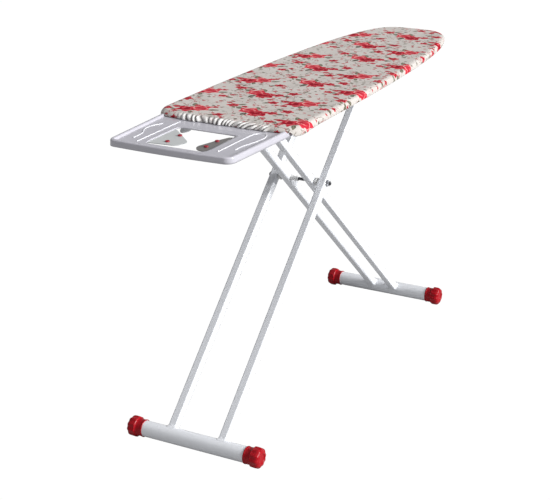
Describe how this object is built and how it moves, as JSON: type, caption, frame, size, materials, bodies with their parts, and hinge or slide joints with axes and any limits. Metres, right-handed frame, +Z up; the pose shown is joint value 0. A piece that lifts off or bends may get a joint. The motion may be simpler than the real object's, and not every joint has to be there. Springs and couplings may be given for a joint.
{
  "type": "ironing board",
  "caption": "Folding ironing board with a padded cotton top, a plastic iron tray with a cut-out, crossed white tube legs and red foot caps.",
  "frame": {"origin": "middle of the object's length and width, on the floor the foot caps stand on", "axes": "+X from the iron tray to the nose of the board, +Y across the board to the left of that direction, +Z up"},
  "size_m": [1.376, 0.39, 0.802],
  "materials": {
    "panel": "satin grey-white coat",
    "steel_white": "glossy white powder coat",
    "felt": "soft grey felt",
    "cotton": "printed cotton, off-white ground with red roses",
    "tray_plastic": "glossy pale lilac grey",
    "lobe_plastic": "pale grey",
    "red_silicone": "red silicone",
    "zinc": "zinc plated",
    "dark_steel": "dark plated",
    "black_plastic": "black",
    "white_nylon": "white nylon",
    "red_plastic": "glossy red"
  },
  "bodies": {
    "board": {"top_panel": "panel", "rim_left": "panel", "rim_right": "panel", "rib_left": "steel_white", "rib_right": "steel_white", "pad": "felt", "cover": "cotton", "iron_tray": "tray_plastic", "rest_lobe_left": "lobe_plastic", "rest_lobe_right": "lobe_plastic", "rest_stud_1": "red_silicone", "rest_stud_2": "red_silicone", "rest_stud_3": "red_silicone", "rest_stud_4": "red_silicone", "tray_arm_left": "steel_white", "tray_arm_right": "steel_white", "tray_screw_1": "zinc", "tray_screw_2": "zinc", "tray_screw_3": "zinc", "tray_screw_4": "zinc", "arm_rivet_1": "zinc", "arm_rivet_2": "zinc", "arm_rivet_3": "zinc", "arm_rivet_4": "zinc", "pivot_bracket_left": "steel_white", "pivot_bracket_right": "steel_white", "slide_rail_left": "steel_white", "slide_rail_right": "steel_white", "lever_bracket": "zinc", "lever_guide": "zinc", "lever_spring": "dark_steel"},
    "lever": {"lever_plate": "zinc", "lever_rod": "zinc", "lever_grip": "red_plastic"},
    "inner_frame": {"inner_tube_left": "steel_white", "inner_tube_right": "steel_white", "inner_pivot_rod": "zinc", "rod_cap_left": "black_plastic", "rod_cap_right": "black_plastic", "inner_foot_bar": "steel_white", "inner_foot_cap_left": "red_plastic", "inner_foot_cap_right": "red_plastic", "scissor_axle": "dark_steel", "axle_sleeve": "white_nylon", "axle_spacer_left": "white_nylon", "axle_spacer_right": "white_nylon", "axle_washer": "zinc", "axle_nut": "zinc"},
    "outer_frame": {"outer_tube_left": "steel_white", "outer_tube_right": "steel_white", "outer_slide_bar": "zinc", "slide_bush_left": "black_plastic", "slide_bush_right": "black_plastic", "outer_foot_bar": "steel_white", "outer_foot_cap_left": "red_plastic", "outer_foot_cap_right": "red_plastic"}
  },
  "joints": [
    {"name": "leg_fold", "type": "hinge", "parent": "board", "child": "inner_frame", "pos_m": [-0.30771, 0, 0.765], "axis": [0, -1, 0], "range_deg": [0, 41.5]},
    {"name": "scissor", "type": "hinge", "parent": "inner_frame", "child": "outer_frame", "pos_m": [-0.072, 0, 0.5433], "axis": [0, 1, 0], "range_deg": [0, 83]},
    {"name": "height_lever", "type": "hinge", "parent": "board", "child": "lever", "pos_m": [0.37147, 0, 0.7805], "axis": [0, -1, 0], "range_deg": [-3.5, 1.5], "stiffness_Nm_per_rad": 12}
  ],
  "couplings": [
    {"joint": "scissor", "follows": "leg_fold", "ratio": 2}
  ]
}
